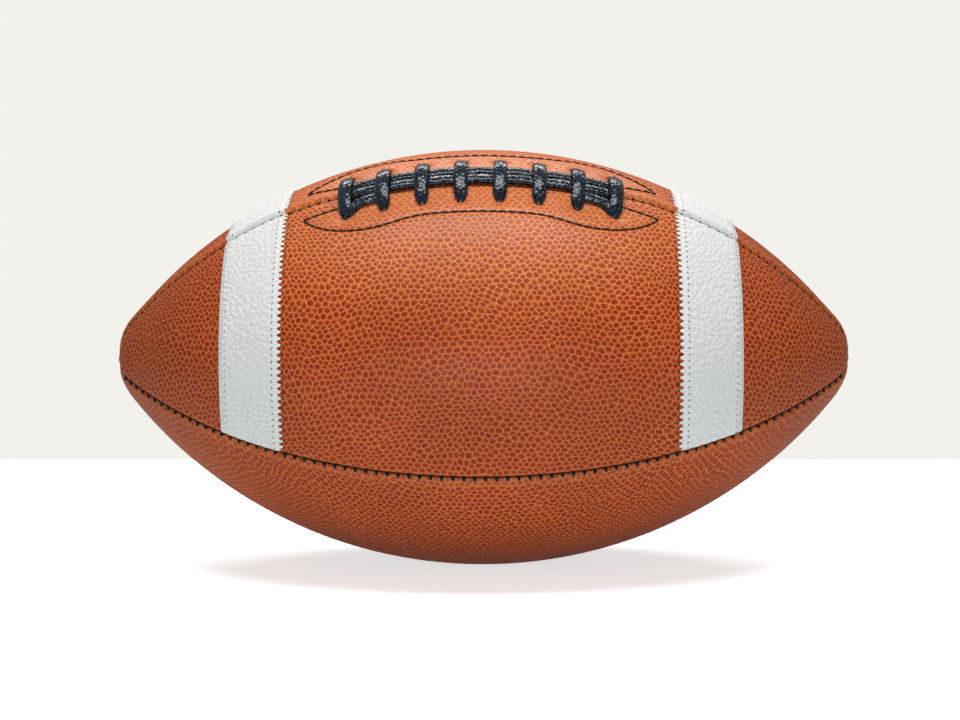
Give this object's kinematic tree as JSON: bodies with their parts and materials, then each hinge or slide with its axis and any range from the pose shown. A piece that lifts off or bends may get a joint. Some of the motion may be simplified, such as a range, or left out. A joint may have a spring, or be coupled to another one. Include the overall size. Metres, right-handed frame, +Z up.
{
  "type": "american football",
  "caption": "Prolate leather ball with sewn panels, white end stripes, raised laces over a stitched facing, an inner bladder and an inflation valve.",
  "frame": {"origin": "centre of the ball", "axes": "+X along the ball's long axis to the right of the picture, -Y towards the front, +Z up, with the laces rolled 27 degrees from the top towards the front"},
  "size_m": [0.2882, 0.164, 0.164],
  "materials": {
    "panel_leather": "pebbled, low sheen",
    "white_leather": "pebbled, low sheen",
    "lace_leather": "fine scale grain, soft sheen",
    "facing_leather": "suede",
    "lining_fabric": "woven",
    "dark_thread": "twisted thread",
    "white_thread": "twisted thread",
    "bladder_rubber": "matte",
    "valve_rubber": "matte"
  },
  "bodies": {
    "root": {"bladder": "bladder_rubber", "facing_thread_back": "dark_thread", "facing_thread_front": "dark_thread", "lace": "lace_leather", "lace_facing_back": "facing_leather", "lace_facing_front": "facing_leather", "lace_tongue": "facing_leather", "lining_belly_back": "lining_fabric", "lining_belly_front": "lining_fabric", "lining_lace_back": "lining_fabric", "lining_lace_front": "lining_fabric", "panel_belly_back": "panel_leather", "panel_belly_front": "panel_leather", "panel_lace_back": "panel_leather", "panel_lace_front": "panel_leather", "seam_thread_back": "dark_thread", "seam_thread_belly": "dark_thread", "seam_thread_front": "dark_thread", "seam_thread_lace": "dark_thread", "stripe_back_left": "white_leather", "stripe_back_right": "white_leather", "stripe_front_left": "white_leather", "stripe_front_right": "white_leather", "stripe_thread_back_left": "white_thread", "stripe_thread_back_right": "white_thread", "stripe_thread_front_left": "white_thread", "stripe_thread_front_right": "white_thread", "valve_body": "valve_rubber", "valve_core": "valve_rubber"}
  },
  "joints": []
}
